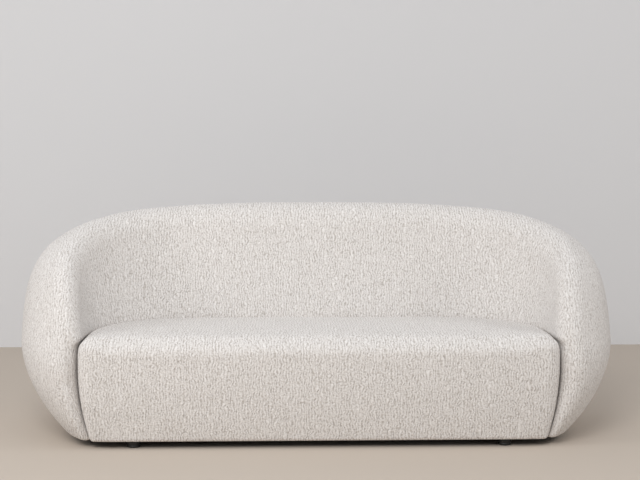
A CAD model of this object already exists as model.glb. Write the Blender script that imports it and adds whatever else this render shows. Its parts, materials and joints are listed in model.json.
"""The curved sofa's looks: looped cloth covers, foam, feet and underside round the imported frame."""

import json
import math

import bmesh
import bpy
import numpy as np
from mathutils import Matrix, Vector, noise


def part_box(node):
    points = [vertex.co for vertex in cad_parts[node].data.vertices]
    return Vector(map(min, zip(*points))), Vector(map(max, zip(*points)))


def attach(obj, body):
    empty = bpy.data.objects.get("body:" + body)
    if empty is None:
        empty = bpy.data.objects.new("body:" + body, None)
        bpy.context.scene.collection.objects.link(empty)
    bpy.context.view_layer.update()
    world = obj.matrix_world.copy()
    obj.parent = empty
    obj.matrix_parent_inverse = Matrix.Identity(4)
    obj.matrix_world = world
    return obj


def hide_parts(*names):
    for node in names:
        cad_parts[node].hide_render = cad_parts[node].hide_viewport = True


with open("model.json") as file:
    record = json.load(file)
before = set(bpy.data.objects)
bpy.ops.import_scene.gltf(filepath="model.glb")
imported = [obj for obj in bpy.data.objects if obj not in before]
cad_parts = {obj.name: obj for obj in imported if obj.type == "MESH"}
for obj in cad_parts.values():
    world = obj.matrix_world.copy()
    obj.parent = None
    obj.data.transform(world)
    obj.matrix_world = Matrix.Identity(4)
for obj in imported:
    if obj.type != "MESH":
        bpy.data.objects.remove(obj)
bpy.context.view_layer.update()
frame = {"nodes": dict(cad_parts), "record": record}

# Metres, +Z up, front towards -Y. The sizes of the body repeat those of the part's source.
HALF_WIDTH = 1.150
BULGE_HEIGHT = 0.363
BODY_TOP = 0.867
BODY_DROP = 0.731
BODY_FRONT_REACH = 0.718
BODY_REAR_REACH = 0.393
BODY_CENTRE = 0.044
BODY_LEAN = 0.234
PLAN_POWERS = {"bottom": 3.1, "bulge": 2.7, "top": 2.0}
HEIGHT_POWERS = {"above": 3.7, "below": 1.72}
FABRIC_EDGE = 0.028

WELL_HALF_WIDTH = 0.847
WELL_REAR = 0.088
WELL_CORNER_RADIUS = 0.372
SWELL_HEIGHT = 0.284
CREASE_HEIGHT = 0.392
SWELL_OUT = 0.032
SWELL_TO_BOTTOM = 0.050
SWELL_TO_CREASE = 0.020
WELL_GAP = 0.0014
CREASE_GAP = 0.0065
GROOVE_BELOW = 0.320
INNER_LEAN = 0.142
LEAN_START = 0.040
CALM_BELOW, CALM_ABOVE = 0.330, 0.450
CALM_REACH = 0.040
FRONT_SWELL = 0.5
ROLL_TOP = 0.096
ROLL_BOTTOM = 0.038
ROLL_FULL_HEIGHT = 0.240

SPINE_OUT = 0.1515
SPINE_HEIGHT = 0.300
SPINE_FOOT_SHIFT = 0.0975
CORNER_X = WELL_HALF_WIDTH - WELL_CORNER_RADIUS
CORNER_Y = WELL_REAR - WELL_CORNER_RADIUS
SPINE_RADIUS = WELL_CORNER_RADIUS + SPINE_OUT

SEAT_HEIGHT = 0.406
SEAT_CROWN = 0.009
SEAT_FRONT = -(0.490 - SWELL_OUT * FRONT_SWELL)
SEAT_FRONT_CORNER = 0.034
SEAT_ROLL_FRONT = 0.066
SEAT_ROLL_SIDE = 0.025
SEAT_ROLL_REAR = 0.026
SEAT_FACING_REACH = 0.120
SEAT_ROLL_BLEND = 0.190
SEAT_BLOCK_LOW, SEAT_BLOCK_HIGH = (-0.9, -0.51, 0.0), (0.9, 0.14, 0.43)
SEAT_CROWN_REACH = 0.260

REAR_SEAM_HEIGHT = 0.610
REAR_SEAM_HALF = 0.720
REAR_SEAM_FRONT = 0.150

COVER_CELL = 0.0085
SEAT_CELL = 0.0075
ROWS = 36
BACK_COLUMNS, CORNER_COLUMNS, NOSE_COLUMNS = 50, 40, 24
CREST_CROWDING = 1.4
SEARCH_REACH = 1.4
SEARCH_ROUNDS = 26
LEAST_SLOPE = 0.3
FOOT_TRIM = 0.004
HEM_RADIUS = 0.012
HEM_COURSE = [
    (0.0004, 0.0362, 0.0), (0.0014, 0.0328, 0.0), (0.0031, 0.0299, 0.1), (0.0058, 0.0277, 0.55),
    (0.0095, 0.0267, 0.7), (0.0140, 0.0264, 0.7), (0.0185, 0.0264, 0.7),
]
PRESSED_HEM = "pressed hem"
CLOTH_THICKNESS = 0.0038
PADDING_PITCH = 9.0
PADDING_RELIEF = 0.0011
PILE_PITCH = 75.0
PILE_RELIEF = 0.0004
EDGE_CALM = 0.012
SHELL_LUMPS, SEAT_LUMPS = (3.1, 7.7, 1.3), (8.4, 2.2, 5.9)
SEAM_REACH = 0.016
SEAM_DEPTH = 0.0035
FOAM_CUTS = 2
FOAM_DEPTH = 0.0078
FOAM_OUTER_REACH = 0.0085
FOAM_EDGE_RISE = 0.001
COVER_FILL, PANEL_FILL, FOAM_FILL = 0.95, 0.9, 0.9

FOOT_PROFILE = [
    (0.0, 0.0), (0.0215, 0.0), (0.0236, 0.0007), (0.0247, 0.0022), (0.025, 0.004),
    (0.025, 0.0085), (0.0243, 0.0093), (0.0243, 0.0103), (0.025, 0.0111), (0.025, 0.0212),
    (0.0245, 0.0230), (0.0231, 0.024), (0.004, 0.024), (0.004, 0.050), (0.0, 0.050),
]
FOOT_STEPS = 48


# ---------------------------------------------------------------- the sofa's form
def mix(a, b, t):
    return a + (b - a) * t


def ramp(t):
    return np.clip(t, 0.0, 1.0)


def smooth(t):
    return ramp(t) ** 2 * (3 - 2 * ramp(t))


def well_distance(x, y):
    """Plan distance from the rounded outline of the seat, growing outwards."""
    across = np.abs(x) - CORNER_X
    behind = y - CORNER_Y
    corner = np.hypot(np.maximum(across, 0), np.maximum(behind, 0))
    return corner + np.minimum(np.maximum(across, behind), 0) - WELL_CORNER_RADIUS


def side_swell(z):
    """How far the side of the seat block stands out of its outline at a height."""
    low = np.maximum((SWELL_HEIGHT - z) / (SWELL_HEIGHT - FABRIC_EDGE), 0)
    high = ramp((z - SWELL_HEIGHT) / (CREASE_HEIGHT - SWELL_HEIGHT))
    return SWELL_OUT - SWELL_TO_BOTTOM * low ** 2 - SWELL_TO_CREASE * high ** 6


def well_gap(z):
    """The gap between seat and shell: closed along the side, a groove along the seat's top."""
    return mix(WELL_GAP, CREASE_GAP, smooth((z - GROOVE_BELOW) / (CREASE_HEIGHT - GROOVE_BELOW)))


def well_wall(z):
    return side_swell(z) + well_gap(z) + INNER_LEAN * np.maximum(z - CREASE_HEIGHT, 0)


def calm_wall(z):
    """The inner face as it shows on the rolled edge: it passes the height of the crease softly."""
    rise = np.maximum(z - CREASE_HEIGHT, 0)
    crease = smooth((z - CALM_BELOW) / (CALM_ABOVE - CALM_BELOW)) * SWELL_TO_CREASE
    low = np.maximum((SWELL_HEIGHT - z) / (SWELL_HEIGHT - FABRIC_EDGE), 0)
    leaning = INNER_LEAN * rise ** 2 / (rise + LEAN_START)
    return SWELL_OUT - SWELL_TO_BOTTOM * low ** 2 - crease + well_gap(z) + leaning


def body_norm(x, y, z):
    """1 on the outer body of the horseshoe, less inside and more outside."""
    above = z > BULGE_HEIGHT
    reach_z = np.where(above, BODY_TOP - BULGE_HEIGHT, BODY_DROP)
    rise = np.abs(z - BULGE_HEIGHT) / reach_z
    low = ramp((z - FABRIC_EDGE) / (BULGE_HEIGHT - FABRIC_EDGE))
    power = np.where(
        above,
        mix(PLAN_POWERS["bulge"], PLAN_POWERS["top"], ramp(rise)),
        mix(PLAN_POWERS["bottom"], PLAN_POWERS["bulge"], low),
    )
    back = y - BODY_CENTRE - BODY_LEAN * (z - BULGE_HEIGHT)
    reach_y = np.where(back < 0, BODY_FRONT_REACH, BODY_REAR_REACH)
    plan = ((np.abs(x) / HALF_WIDTH) ** power + (np.abs(back) / reach_y) ** power) ** (1 / power)
    height_power = np.where(above, HEIGHT_POWERS["above"], HEIGHT_POWERS["below"])
    return (plan ** height_power + rise ** height_power) ** (1 / height_power)


def slopes(field, p, step=0.0005):
    """Gradient of a field at points, by central differences."""
    columns = []
    for axis in range(3):
        shift = np.zeros(3)
        shift[axis] = step
        ahead, behind = p + shift, p - shift
        columns.append((field(*ahead.T) - field(*behind.T)) / (2 * step))
    return np.stack(columns, axis=1)


def body_distance(x, y, z):
    p = np.stack(np.broadcast_arrays(x, y, z), axis=1)
    slope = np.linalg.norm(slopes(body_norm, p), axis=1)
    return (body_norm(x, y, z) - 1) / slope


def shell_distance(x, y, z):
    """Distance to the upholstered horseshoe: the body less the well, its edge rolled over."""
    lean = 1 + (math.hypot(1, INNER_LEAN) - 1) * smooth((z - CREASE_HEIGHT) / LEAN_START)
    from_body = body_distance(x, y, z)
    beside = well_distance(x, y)
    calm = smooth((beside - well_wall(z)) / CALM_REACH)
    from_well = (mix(well_wall(z), calm_wall(z), calm) - beside) / lean
    share = ramp((z - FABRIC_EDGE) / (ROLL_FULL_HEIGHT - FABRIC_EDGE))
    roll = mix(ROLL_BOTTOM, ROLL_TOP, share)
    edge = np.hypot(np.maximum(roll + from_body, 0), np.maximum(roll + from_well, 0))
    return np.minimum(-roll, np.maximum(from_body, from_well)) + edge


def settle(field, p, depth, rounds=3):
    """Moves points along a field's slope until they lie a depth below its face."""
    for _ in range(rounds):
        slope = slopes(field, p)
        length = np.maximum(np.linalg.norm(slope, axis=1), LEAST_SLOPE)
        miss = field(*p.T) + depth
        p = p - (miss / length ** 2)[:, None] * slope
    return p


def spine_point(place):
    """Plan point and outward direction of the spine; place runs from -2 to 2 round the sofa."""
    side, step = (1 if place >= 0 else -1), abs(place)
    if step <= 1:
        return np.array([side * CORNER_X * step, CORNER_Y + SPINE_RADIUS]), np.array([0.0, 1.0])
    turn = (step - 1) * math.pi / 2
    outward = np.array([side * math.sin(turn), math.cos(turn)])
    return np.array([side * CORNER_X, CORNER_Y]) + SPINE_RADIUS * outward, outward


def column_ring():
    """Spine point, outward direction and own direction of every column round the horseshoe."""
    along = np.concatenate([
        np.linspace(-2, -1, CORNER_COLUMNS)[:-1],
        np.linspace(-1, 1, BACK_COLUMNS),
        np.linspace(1, 2, CORNER_COLUMNS)[1:],
    ])
    spine = [spine_point(place) for place in along]
    ring = [(origin, outward, outward) for origin, outward in spine]
    fan = [math.pi * i / NOSE_COLUMNS for i in range(1, NOSE_COLUMNS)]
    for origin, outward, side in ((*spine[-1], 1), (*spine[0], -1)):
        turned = [(origin, outward, np.array([side * math.cos(t), -math.sin(t)])) for t in fan]
        if side > 0:
            ring += turned + [(o, out, -out) for o, out in reversed(spine)]
        else:
            ring += list(reversed(turned))
    return ring


def rolled_columns(rows, foot):
    """Points of all columns, foot first and crest last, found on the horseshoe's face."""
    ring = column_ring()
    origin = np.array([column[0] for column in ring])
    outward = np.array([column[1] for column in ring])
    direction = np.array([column[2] for column in ring])
    shift_share = -SPINE_FOOT_SHIFT * outward[:, 0] ** 2

    def place(r, z):
        shift = shift_share * np.maximum((SPINE_HEIGHT - z) / (SPINE_HEIGHT - FABRIC_EDGE), 0)
        plan = origin + outward * shift[:, None] + direction * r[:, None]
        return plan[:, 0], plan[:, 1], z

    def edge(point_at):
        inside, outside = np.zeros(len(ring)), np.full(len(ring), SEARCH_REACH)
        for _ in range(SEARCH_ROUNDS):
            middle = (inside + outside) / 2
            out = shell_distance(*point_at(middle)) > 0
            outside = np.where(out, middle, outside)
            inside = np.where(out, inside, middle)
        return (inside + outside) / 2

    foot_radius = edge(lambda r: place(r, np.full(len(ring), foot)))
    foot_angle = np.arctan2(foot - SPINE_HEIGHT, foot_radius)
    table = [np.stack(place(foot_radius, np.full(len(ring), foot)), axis=1)]
    for row in range(1, rows + 1):
        angle = mix(foot_angle, math.pi / 2, 1 - (1 - row / rows) ** CREST_CROWDING)
        ray = lambda d: place(d * np.cos(angle), SPINE_HEIGHT + d * np.sin(angle))
        table.append(np.stack(ray(edge(ray)), axis=1))
    return np.array(table)


# ---------------------------------------------------------------- mesh helpers
def new_object(name, bm, smooth_faces=True):
    mesh = bpy.data.meshes.new(name)
    bm.to_mesh(mesh)
    bm.free()
    piece = bpy.data.objects.new(name, mesh)
    bpy.context.scene.collection.objects.link(piece)
    mesh.polygons.foreach_set("use_smooth", [smooth_faces] * len(mesh.polygons))
    return piece


def wrapped_form(table):
    """A closed form from rows of points round a ring: a grid that is wrapped and zipped."""
    rows, columns = len(table) - 1, len(table[0])
    bm = bmesh.new()
    bmesh.ops.create_grid(bm, x_segments=columns, y_segments=rows, size=0.5)
    for vert in bm.verts:
        column = round((vert.co.x + 0.5) * columns) % columns
        row = round((vert.co.y + 0.5) * rows)
        vert.co = table[row][column]
    bmesh.ops.remove_doubles(bm, verts=bm.verts, dist=1e-5)
    rim = [edge for edge in bm.edges if edge.is_boundary]
    bmesh.ops.holes_fill(bm, edges=rim, sides=0)
    bmesh.ops.triangulate(bm, faces=[face for face in bm.faces if len(face.verts) > 4])
    bmesh.ops.recalc_face_normals(bm, faces=bm.faces)
    return bm


def evened(bm, name, cell):
    """The same form in even cells, as a mesh of its own."""
    source = new_object(name + "_source", bm)
    remesh = source.modifiers.new("even cells", "REMESH")
    remesh.mode = "VOXEL"
    remesh.voxel_size = cell
    graph = bpy.context.evaluated_depsgraph_get()
    mesh = bpy.data.meshes.new_from_object(source.evaluated_get(graph))
    bpy.data.objects.remove(source)
    even = bmesh.new()
    even.from_mesh(mesh)
    bpy.data.meshes.remove(mesh)
    return even


def coordinates(bm):
    return np.array([vert.co for vert in bm.verts])


def set_coordinates(bm, points):
    for vert, point in zip(bm.verts, points):
        vert.co = point


def relax(bm, rounds, factor=0.5):
    for _ in range(rounds):
        bmesh.ops.smooth_vert(
            bm, verts=bm.verts, factor=factor, use_axis_x=True, use_axis_y=True, use_axis_z=True
        )


# ---------------------------------------------------------------- the seat block's form
def seat_plan_distance(x, y):
    """Plan distance from the seat block's outline: large corners behind, small ones in front."""
    across = np.abs(x) - (WELL_HALF_WIDTH - SEAT_FRONT_CORNER)
    ahead = (SEAT_FRONT + SEAT_FRONT_CORNER) - y
    corner = np.hypot(np.maximum(across, 0), np.maximum(ahead, 0))
    front = corner + np.minimum(np.maximum(across, ahead), 0) - SEAT_FRONT_CORNER
    return np.maximum(front, well_distance(x, y))


def seat_distance(x, y, z):
    """Distance to the seat block, whose top rolls over to its sides."""
    across = np.maximum(np.abs(x) - (WELL_HALF_WIDTH - SEAT_FACING_REACH), 0)
    ahead = np.maximum((SEAT_FRONT + SEAT_FACING_REACH) - y, 0)
    facing = smooth(np.arctan2(ahead, across + 1e-6) * 2 / math.pi)
    plan = seat_plan_distance(x, y)
    from_side = plan - side_swell(z) * mix(1, FRONT_SWELL, facing)
    share = ramp(-plan / SEAT_CROWN_REACH)
    from_top = z - SEAT_HEIGHT - SEAT_CROWN * (1 - (1 - share) ** 2)
    side_roll = mix(SEAT_ROLL_SIDE, SEAT_ROLL_REAR, smooth((y - SEAT_FRONT) / SEAT_ROLL_BLEND))
    roll = mix(side_roll, SEAT_ROLL_FRONT, facing ** 2)
    edge = np.hypot(np.maximum(roll + from_side, 0), np.maximum(roll + from_top, 0))
    return np.minimum(-roll, np.maximum(from_side, from_top)) + edge


# ---------------------------------------------------------------- covers
def settled(bm, field, depth, rounds):
    for _ in range(rounds):
        relax(bm, 1)
        set_coordinates(bm, settle(field, coordinates(bm), depth, 1))
    set_coordinates(bm, settle(field, coordinates(bm), depth, 2))


def open_foot(bm, height):
    """Cuts the form flat at a height and leaves it open below."""
    geometry = bm.verts[:] + bm.edges[:] + bm.faces[:]
    bmesh.ops.bisect_plane(
        bm, geom=geometry, plane_co=(0, 0, height), plane_no=(0, 0, 1), clear_inner=True
    )


def turn_under(bm, field, course):
    """Turns the cloth under its edge; the course lists depths, heights and flatness."""
    pressed = bm.verts.layers.deform.verify()
    for depth, height, flatness in course:
        rim = [edge for edge in bm.edges if edge.is_boundary]
        made = bmesh.ops.extrude_edge_only(bm, edges=rim)
        verts = [item for item in made["geom"] if isinstance(item, bmesh.types.BMVert)]
        points = np.array([vert.co for vert in verts])
        for _ in range(3):
            points[:, 2] = height
            points = settle(field, points, depth, 1)
        points[:, 2] = height
        for vert, point in zip(verts, points):
            vert.co = point
            vert[pressed][0] = flatness


def relief(bm, field, start):
    """Small lumps of the padding and the cloth's pile, pushed out along the face's slope."""
    offset = Vector(start)
    points = coordinates(bm)
    slope = slopes(field, points)
    slope /= np.maximum(np.linalg.norm(slope, axis=1), LEAST_SLOPE)[:, None]
    heights = []
    for vert in bm.verts:
        p = vert.co
        lump = noise.noise(p * PADDING_PITCH + offset) * PADDING_RELIEF
        pile = noise.noise(p * PILE_PITCH + offset) * PILE_RELIEF
        heights.append((lump + pile) * min(1.0, max(0.0, (p.z - FABRIC_EDGE) / EDGE_CALM)))
    set_coordinates(bm, points + slope * np.array(heights)[:, None])


def skinned(name, bm, fill, material, slot, *nodes):
    """The finished cover piece: cloth of a real thickness on the face that was made."""
    bmesh.ops.recalc_face_normals(bm, faces=bm.faces)
    piece = new_object(name, bm)
    skin = piece.modifiers.new("cloth thickness", "SOLIDIFY")
    skin.thickness = CLOTH_THICKNESS
    skin.offset = -1
    piece.vertex_groups.new(name=PRESSED_HEM)
    skin.vertex_group = PRESSED_HEM
    skin.invert_vertex_group = True
    piece.data.materials.append(material)
    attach(piece, "root")
    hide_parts(*nodes)
    return piece


def horseshoe_surface():
    bm = wrapped_form(rolled_columns(ROWS, 0.0))
    bm = evened(bm, "horseshoe", COVER_CELL)
    open_foot(bm, FOOT_TRIM)
    settled(bm, shell_distance, 0.0, 4)
    open_foot(bm, FABRIC_EDGE + HEM_RADIUS)
    relief(bm, shell_distance, SHELL_LUMPS)
    turn_under(bm, shell_distance, HEM_COURSE)
    return bm


def seat_surface():
    low, high = Vector(SEAT_BLOCK_LOW), Vector(SEAT_BLOCK_HIGH)
    bm = bmesh.new()
    bmesh.ops.create_cube(bm, size=1)
    bmesh.ops.scale(bm, vec=high - low, verts=bm.verts)
    bmesh.ops.translate(bm, vec=(low + high) / 2, verts=bm.verts)
    bm = evened(bm, "seat", SEAT_CELL)
    open_foot(bm, FOOT_TRIM)
    set_coordinates(bm, settle(seat_distance, coordinates(bm), 0.0, 6))
    settled(bm, seat_distance, 0.0, 8)
    open_foot(bm, FABRIC_EDGE + HEM_RADIUS)
    relief(bm, seat_distance, SEAT_LUMPS)
    turn_under(bm, seat_distance, HEM_COURSE)
    return bm


def in_rear_panel(co):
    inside = abs(co.x) < REAR_SEAM_HALF and co.z < REAR_SEAM_HEIGHT
    return inside and co.y > REAR_SEAM_FRONT


def sink_seam(bm):
    """Draws the cloth in along the seam round the rear panel."""
    for vert in bm.verts:
        x, y, z = vert.co
        if y < REAR_SEAM_FRONT:
            continue
        beside = abs(abs(x) - REAR_SEAM_HALF) if z < REAR_SEAM_HEIGHT else 1.0
        above = abs(z - REAR_SEAM_HEIGHT) if abs(x) < REAR_SEAM_HALF else 1.0
        away = min(beside, above)
        if away < SEAM_REACH:
            share = (1 - away / SEAM_REACH) ** 2
            vert.co -= vert.normal * SEAM_DEPTH * share


def split_rear_panel(bm):
    """Cuts the horseshoe's cover into the rear panel and the rest."""
    for plane, normal in (
        ((0, 0, REAR_SEAM_HEIGHT), (0, 0, 1)),
        ((REAR_SEAM_HALF, 0, 0), (1, 0, 0)),
        ((-REAR_SEAM_HALF, 0, 0), (1, 0, 0)),
    ):
        rear = [face for face in bm.faces if face.calc_center_median().y > REAR_SEAM_FRONT]
        edges = {edge for face in rear for edge in face.edges}
        verts = {vert for face in rear for vert in face.verts}
        geometry = [*verts, *edges, *rear]
        bmesh.ops.bisect_plane(bm, geom=geometry, plane_co=plane, plane_no=normal)
    bm.normal_update()
    sink_seam(bm)
    panel = bm.copy()
    outside = [f for f in panel.faces if not in_rear_panel(f.calc_center_median())]
    bmesh.ops.delete(panel, geom=outside, context="FACES")
    inside = [f for f in bm.faces if in_rear_panel(f.calc_center_median())]
    bmesh.ops.delete(bm, geom=inside, context="FACES")
    return bm, panel


# ---------------------------------------------------------------- foam
def foam_piece(name, node, field, material):
    """Finer foam with the CAD solid's hollow: its outer face follows the cover closely."""
    bm = bmesh.new()
    bm.from_mesh(frame["nodes"][node].data)
    bmesh.ops.remove_doubles(bm, verts=bm.verts, dist=1e-6)
    outer = bm.verts.layers.float.new("outer face")
    depths = -field(*coordinates(bm).T)
    for vert, depth in zip(bm.verts, depths):
        vert[outer] = 1.0 if depth < FOAM_OUTER_REACH else 0.0
    bmesh.ops.subdivide_edges(bm, edges=bm.edges, cuts=FOAM_CUTS, use_grid_fill=True)
    lowest = FABRIC_EDGE + FOAM_EDGE_RISE
    outside = [vert for vert in bm.verts if vert[outer] > 0.999 and vert.co.z > lowest]
    points = settle(field, np.array([vert.co for vert in outside]), FOAM_DEPTH, 3)
    for vert, point in zip(outside, points):
        vert.co = point
    piece = new_object(name, bm)
    piece.data.materials.append(material)
    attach(piece, "root")
    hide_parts(node)
    return piece


# ---------------------------------------------------------------- feet and underside
def foot_piece(name, node, material):
    """A turned disc foot with a groove round it and its stud, spun about the CAD foot's middle."""
    low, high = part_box(node)
    x, y = (low.x + high.x) / 2, (low.y + high.y) / 2
    bm = bmesh.new()
    verts = [bm.verts.new((x + r, y, z)) for r, z in FOOT_PROFILE]
    edges = [bm.edges.new(pair) for pair in zip(verts, verts[1:])]
    bmesh.ops.spin(
        bm, geom=verts + edges, cent=(x, y, 0), axis=(0, 0, 1),
        angle=2 * math.pi, steps=FOOT_STEPS, use_merge=True,
    )
    bmesh.ops.remove_doubles(bm, verts=bm.verts, dist=1e-6)
    bmesh.ops.recalc_face_normals(bm, faces=bm.faces)
    piece = new_object(name, bm)
    piece.data.materials.append(material)
    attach(piece, "root")
    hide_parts(node)
    return piece


def under_cloth(material):
    """The black cloth stapled flat under the sofa, in the CAD sheet's own outline."""
    bm = bmesh.new()
    bm.from_mesh(frame["nodes"]["dust_cover"].data)
    bmesh.ops.remove_doubles(bm, verts=bm.verts, dist=1e-6)
    piece = new_object("under_cloth", bm, smooth_faces=False)
    piece.data.materials.append(material)
    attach(piece, "root")
    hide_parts("dust_cover")
    return piece


# ---------------------------------------------------------------- materials
def node(tree, kind, place, **settings):
    """A new node at a place, with its modes and the values of its sockets."""
    made = tree.nodes.new(kind)
    made.location = place
    for key, value in settings.items():
        if key in ("operation", "feature", "interpolation_type"):
            setattr(made, key, value)
        else:
            made.inputs[key].default_value = value
    return made


def new_material(name, color, roughness):
    material = bpy.data.materials.new(name)
    material.use_nodes = True
    shader = material.node_tree.nodes["Principled BSDF"]
    shader.inputs["Base Color"].default_value = (*color, 1)
    shader.inputs["Roughness"].default_value = roughness
    return material, material.node_tree, shader


def mixed_color(tree, place, dark, light, share):
    """Colour between two, by a share from another node; the colour sockets are found by kind."""
    made = tree.nodes.new("ShaderNodeMix")
    made.data_type = "RGBA"
    made.location = place
    first, second = [socket for socket in made.inputs if socket.type == "RGBA"]
    first.default_value, second.default_value = (*dark, 1), (*light, 1)
    tree.links.new(share, made.inputs[0])
    return next(socket for socket in made.outputs if socket.type == "RGBA")


def looped_cloth_group():
    """Looped yarn: curls that stand in uneven upright rows."""
    tree = bpy.data.node_groups.new("looped yarn", "ShaderNodeTree")
    face = tree.interface
    for name in ("Vector", "Normal"):
        face.new_socket(name, in_out="INPUT", socket_type="NodeSocketVector")
    for name in ("Rows per metre", "Curls"):
        face.new_socket(name, in_out="INPUT", socket_type="NodeSocketFloat")
    for name in ("Height", "Crowns"):
        face.new_socket(name, in_out="OUTPUT", socket_type="NodeSocketFloat")
    link = tree.links.new
    given = tree.nodes.new("NodeGroupInput")
    result = tree.nodes.new("NodeGroupOutput")

    def ranged(value, limits, ends, place, kind="LINEAR"):
        """A value carried over from one range to another."""
        made = node(tree, "ShaderNodeMapRange", place, interpolation_type=kind)
        for sides, pair in (("From", limits), ("To", ends)):
            made.inputs[sides + " Min"].default_value = pair[0]
            made.inputs[sides + " Max"].default_value = pair[1]
        link(value, made.inputs["Value"])
        return made

    def bent(scale, reach, place):
        """The coordinates pushed about by a noise, so that rows waver."""
        noise_node = node(tree, "ShaderNodeTexNoise", (-1500, place), Scale=scale, Detail=1.0)
        link(given.outputs["Vector"], noise_node.inputs["Vector"])
        centred = node(tree, "ShaderNodeVectorMath", (-1320, place), operation="SUBTRACT")
        centred.inputs[1].default_value = (0.5, 0.5, 0.5)
        link(noise_node.outputs["Color"], centred.inputs[0])
        small = node(tree, "ShaderNodeVectorMath", (-1160, place), operation="SCALE", Scale=reach)
        link(centred.outputs[0], small.inputs[0])
        moved = node(tree, "ShaderNodeVectorMath", (-1000, place), operation="ADD")
        link(given.outputs["Vector"], moved.inputs[0])
        link(small.outputs[0], moved.inputs[1])
        return moved.outputs[0]

    def rows(spot, axis, stretch, place):
        """Ridges across one axis whose phase wavers, stronger and weaker in short dashes."""
        parts = node(tree, "ShaderNodeSeparateXYZ", (-820, place))
        link(spot, parts.inputs[0])
        turns = node(tree, "ShaderNodeMath", (-640, place), operation="MULTIPLY")
        link(parts.outputs[axis], turns.inputs[0])
        link(wave_number.outputs[0], turns.inputs[1])
        phased = node(tree, "ShaderNodeMath", (-460, place), operation="ADD")
        link(turns.outputs[0], phased.inputs[0])
        link(phase.outputs["Result"], phased.inputs[1])
        wave = node(tree, "ShaderNodeMath", (-300, place), operation="COSINE")
        link(phased.outputs[0], wave.inputs[0])
        stretched = node(tree, "ShaderNodeVectorMath", (-820, place - 200), operation="MULTIPLY")
        stretched.inputs[1].default_value = stretch
        link(spot, stretched.inputs[0])
        dashes = node(tree, "ShaderNodeTexNoise", (-640, place - 200), Detail=1.0, Roughness=0.5)
        link(stretched.outputs[0], dashes.inputs["Vector"])
        link(given.outputs["Rows per metre"], dashes.inputs["Scale"])
        beside = (-460, place - 200)
        strength = ranged(dashes.outputs[0], DASH_LIMITS, DASH_STRENGTHS, beside, "SMOOTHSTEP")
        made = node(tree, "ShaderNodeMath", (-140, place), operation="MULTIPLY_ADD")
        made.inputs[2].default_value = 0.5
        link(wave.outputs[0], made.inputs[0])
        link(strength.outputs["Result"], made.inputs[1])
        return made.outputs[0]

    def blend(first, second, share, place):
        """One value mixed into another by a number or by a socket's value."""
        made = node(tree, "ShaderNodeMix", place)
        floats = [socket for socket in made.inputs if socket.type == "VALUE"]
        for source, socket in ((first, floats[1]), (second, floats[2])):
            link(source, socket)
        if isinstance(share, float):
            floats[0].default_value = share
        else:
            link(share, floats[0])
        return next(socket for socket in made.outputs if socket.type == "VALUE")

    facing = node(tree, "ShaderNodeSeparateXYZ", (-1500, 600))
    link(given.outputs["Normal"], facing.inputs[0])
    sideways = node(tree, "ShaderNodeMath", (-1320, 600), operation="ABSOLUTE")
    link(facing.outputs["X"], sideways.inputs[0])
    turned = ranged(sideways.outputs[0], TURN_LIMITS, (0.0, 1.0), (-1160, 600), "SMOOTHSTEP")

    wave_number = node(tree, "ShaderNodeMath", (-1500, 300), operation="MULTIPLY")
    wave_number.inputs[1].default_value = 2 * math.pi
    link(given.outputs["Rows per metre"], wave_number.inputs[0])
    drift = node(tree, "ShaderNodeTexNoise", (-1500, 450), Scale=PHASE_PITCH, Detail=1.0)
    link(given.outputs["Vector"], drift.inputs["Vector"])
    phase = ranged(drift.outputs[0], (0.0, 1.0), (0.0, PHASE_REACH), (-1320, 450))

    place = bent(*ROW_WAVER, 0)
    upright = blend(
        rows(place, "X", (1.0, DASH_SHARE, DASH_SHARE), 200),
        rows(place, "Y", (DASH_SHARE, 1.0, DASH_SHARE), -300),
        turned.outputs["Result"], (20, 0),
    )

    curls = node(tree, "ShaderNodeTexVoronoi", (-640, -900), feature="F1", Randomness=1.0)
    link(place, curls.inputs["Vector"])
    link(given.outputs["Curls"], curls.inputs["Scale"])
    square = node(tree, "ShaderNodeMath", (-460, -900), operation="MULTIPLY")
    link(curls.outputs["Distance"], square.inputs[0])
    link(curls.outputs["Distance"], square.inputs[1])
    round_top = node(tree, "ShaderNodeMath", (-300, -900), operation="SUBTRACT")
    round_top.use_clamp = True
    round_top.inputs[0].default_value = 1.0
    link(square.outputs[0], round_top.inputs[1])

    height = blend(round_top.outputs[0], upright, ROW_WEIGHT, (100, -200))
    crowns = ranged(height, CROWN_LIMITS, (0.0, 1.0), (280, 100))
    link(height, result.inputs["Height"])
    link(crowns.outputs["Result"], result.inputs["Crowns"])
    return tree


def looped_cloth(group):
    material, tree, shader = new_material("looped off-white cloth", CLOTH_COLOR, 0.92)
    link = tree.links.new
    place = node(tree, "ShaderNodeTexCoord", (-900, 0))
    yarn = tree.nodes.new("ShaderNodeGroup")
    yarn.node_tree = group
    yarn.inputs["Rows per metre"].default_value = ROWS_PER_METRE
    yarn.inputs["Curls"].default_value = CURLS_PER_METRE
    link(place.outputs["Object"], yarn.inputs["Vector"])
    link(place.outputs["Normal"], yarn.inputs["Normal"])
    tint = mixed_color(tree, (-300, 200), CLOTH_HOLLOW_COLOR, CLOTH_COLOR, yarn.outputs["Crowns"])
    link(tint, shader.inputs["Base Color"])
    bump = node(tree, "ShaderNodeBump", (-300, -200), Strength=1.0, Distance=CLOTH_BUMP)
    link(yarn.outputs["Height"], bump.inputs["Height"])
    link(bump.outputs["Normal"], shader.inputs["Normal"])
    shader.inputs["Sheen Weight"].default_value = 0.2
    shader.inputs["Sheen Roughness"].default_value = 0.6
    shader.inputs["Specular IOR Level"].default_value = 0.2
    return material


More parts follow.
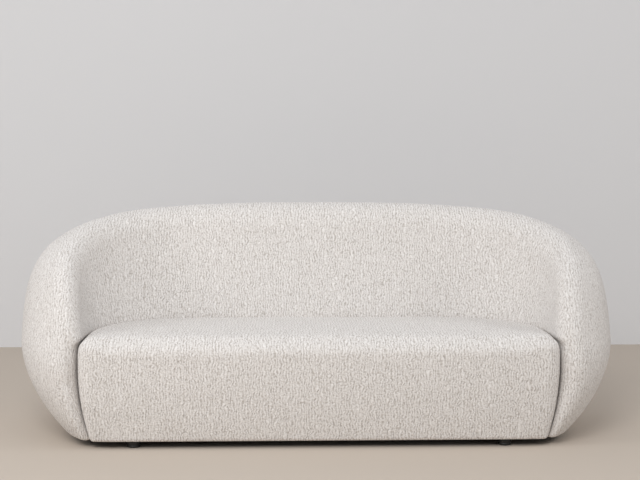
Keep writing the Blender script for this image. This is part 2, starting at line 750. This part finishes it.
def plain_material(
    name, color, roughness,
    metallic=0.0, scale=40.0, spread=0.12, bump_depth=0.0003, stretch=(1, 1, 1),
):
    """A finish with a little variation and fine relief of its own."""
    material, tree, shader = new_material(name, color, roughness)
    link = tree.links.new
    place = node(tree, "ShaderNodeTexCoord", (-1100, 0))
    mapping = node(tree, "ShaderNodeMapping", (-900, 0))
    mapping.inputs["Scale"].default_value = stretch
    grain = node(tree, "ShaderNodeTexNoise", (-700, 0), Scale=scale, Detail=5.0)
    dark, light = ([min(1, part * (1 + sign * spread)) for part in color] for sign in (-1, 1))
    tint = mixed_color(tree, (-400, 200), dark, light, grain.outputs[0])
    bump = node(tree, "ShaderNodeBump", (-400, -200), Strength=0.6, Distance=bump_depth)
    link(place.outputs["Object"], mapping.inputs["Vector"])
    link(mapping.outputs["Vector"], grain.inputs["Vector"])
    link(grain.outputs[0], bump.inputs["Height"])
    link(tint, shader.inputs["Base Color"])
    link(bump.outputs["Normal"], shader.inputs["Normal"])
    shader.inputs["Metallic"].default_value = metallic
    return material


CLOTH_COLOR = (0.90, 0.873, 0.852)
CLOTH_HOLLOW_COLOR = (0.53, 0.49, 0.455)
ROWS_PER_METRE = 95.0
CURLS_PER_METRE = 165.0
ROW_WAVER = (60.0, 0.002)
PHASE_PITCH = 40.0
PHASE_REACH = 14.0
TURN_LIMITS = (0.55, 0.85)
DASH_SHARE = 0.8
DASH_LIMITS = (0.38, 0.60)
DASH_STRENGTHS = (0.08, 0.5)
ROW_WEIGHT = 0.52
CROWN_LIMITS = (0.25, 0.85)
CLOTH_BUMP = 0.0030

cloth = looped_cloth(looped_cloth_group())
foam = plain_material("foam", (0.80, 0.72, 0.48), 0.9, scale=600, spread=0.08, bump_depth=0.0008)
finishes = {
    "plywood": plain_material(
        "birch plywood", (0.58, 0.42, 0.25), 0.6, scale=30, stretch=(1, 1, 9)),
    "timber": plain_material(
        "pine", (0.56, 0.38, 0.21), 0.6, scale=25, stretch=(1, 8, 8)),
    "spring_steel": plain_material(
        "spring wire", (0.32, 0.33, 0.35), 0.35, metallic=1.0, scale=200),
    "webbing": plain_material(
        "webbing", (0.30, 0.27, 0.23), 0.85, scale=500, bump_depth=0.0006),
    "felt": plain_material(
        "felt", (0.40, 0.37, 0.33), 0.95, scale=350, bump_depth=0.0006),
    "steel": plain_material(
        "steel plate", (0.52, 0.53, 0.55), 0.35, metallic=1.0, scale=150),
    "black_plastic": plain_material(
        "black plastic", (0.012, 0.012, 0.012), 0.45, scale=300, spread=0.3),
    "black_cloth": plain_material(
        "black under cloth", (0.014, 0.013, 0.012), 0.9, scale=700, bump_depth=0.0005),
}
slots = {row["node"]: row["material_slot"] for row in frame["record"]["subparts"]}
for name, cad in frame["nodes"].items():
    if slots[name] in finishes:
        cad.data.materials.clear()
        cad.data.materials.append(finishes[slots[name]])

# ---------------------------------------------------------------- the pieces
shell, panel = split_rear_panel(horseshoe_surface())
skinned("back_and_arm_loops", shell, COVER_FILL, cloth, "boucle", "back_and_arm_cover")
skinned("rear_panel_loops", panel, PANEL_FILL, cloth, "boucle", "outside_back_panel")
skinned("seat_block_loops", seat_surface(), COVER_FILL, cloth, "boucle", "seat_cover")
shell_foams = [
    "back_foam", "left_arm_foam", "right_arm_foam", "left_arm_nose_foam", "right_arm_nose_foam",
]
for name in shell_foams:
    foam_piece("fine_" + name, name, shell_distance, foam)
foam_piece("fine_seat_foam", "seat_foam", seat_distance, foam)
for name in ("front_left", "front_right", "rear_left", "rear_right", "centre"):
    foot_piece("round_foot_" + name, "foot_" + name, finishes["black_plastic"])
under_cloth(finishes["black_cloth"])

# ---------------------------------------------------------------- floor, wall, lights and camera
def stage_plane(name, across, up, color, roughness):
    """A flat sheet between two corners: the floor, or the wall where both lie at the same depth."""
    low, high = Vector(across), Vector(up)
    bm = bmesh.new()
    bmesh.ops.create_grid(bm, x_segments=1, y_segments=1, size=0.5)
    if low.y == high.y:
        upright = Matrix.Rotation(math.pi / 2, 3, "X")
        bmesh.ops.rotate(bm, verts=bm.verts, cent=(0, 0, 0), matrix=upright)
    size = high - low
    bmesh.ops.scale(bm, vec=[side or 1 for side in size], verts=bm.verts)
    bmesh.ops.translate(bm, vec=(low + high) / 2, verts=bm.verts)
    plane = new_object(name, bm, smooth_faces=False)
    material, tree, shader = new_material(name, color, roughness)
    shader.inputs["Specular IOR Level"].default_value = 0.1
    plane.data.materials.append(material)
    return tree, shader


def clear_from_behind(tree, shader):
    """Lets a view from behind the wall see the sofa."""
    facing = node(tree, "ShaderNodeNewGeometry", (-200, 200))
    clear = node(tree, "ShaderNodeBsdfTransparent", (-200, -200))
    either = node(tree, "ShaderNodeMixShader", (300, 200))
    tree.links.new(facing.outputs["Backfacing"], either.inputs["Fac"])
    tree.links.new(shader.outputs["BSDF"], either.inputs[1])
    tree.links.new(clear.outputs["BSDF"], either.inputs[2])
    tree.links.new(either.outputs["Shader"], tree.nodes["Material Output"].inputs["Surface"])


WALL_BACK = 1.90
FLOOR_COLOR = (0.59, 0.52, 0.45)
WALL_COLOR = (0.76, 0.76, 0.77)
stage_plane("pale_floor", (-9, -9, 0), (9, 9, 0), FLOOR_COLOR, 0.7)
clear_from_behind(*stage_plane("pale_wall", (-9, WALL_BACK, 0), (9, WALL_BACK, 6), WALL_COLOR, 0.9))


def area_light(name, place, target, size, power, color):
    light = bpy.data.lights.new(name, "AREA")
    light.shape = "DISK"
    light.size = size
    light.energy = power
    light.color = color
    lamp = bpy.data.objects.new(name, light)
    lamp.location = place
    towards = Vector(target) - Vector(place)
    lamp.rotation_euler = towards.to_track_quat("-Z", "Y").to_euler()
    bpy.context.scene.collection.objects.link(lamp)


area_light("front", (-1.1, -4.5, 3.5), (0, 0, 0.4), 2.4, 116, (1.0, 0.99, 0.98))
area_light("above", (-0.3, -1.8, 4.0), (0, 0, 0.4), 3.0, 17, (0.985, 0.99, 1.0))
area_light("right", (3.9, -1.2, 2.6), (0.8, 0, 0.5), 1.5, 30, (1.0, 0.99, 0.98))
area_light("left", (-4.2, -1.9, 2.6), (-0.8, 0, 0.5), 2.2, 48, (1.0, 0.995, 0.99))
world = bpy.data.worlds.new("soft room light")
world.use_nodes = True
world.node_tree.nodes["Background"].inputs["Color"].default_value = (0.95, 0.97, 1.0, 1)
world.node_tree.nodes["Background"].inputs["Strength"].default_value = 0.40
bpy.context.scene.world = world
bpy.context.scene.view_settings.view_transform = "Standard"

camera = bpy.data.cameras.new("photograph's view")
camera.lens = 67.5
camera.sensor_width = 36
view = bpy.data.objects.new("photograph's view", camera)
view.location = (-0.122, -4.751, 1.056)
view.rotation_euler = (math.radians(86.02), 0, math.radians(-1.62))
bpy.context.scene.collection.objects.link(view)
bpy.context.scene.camera = view
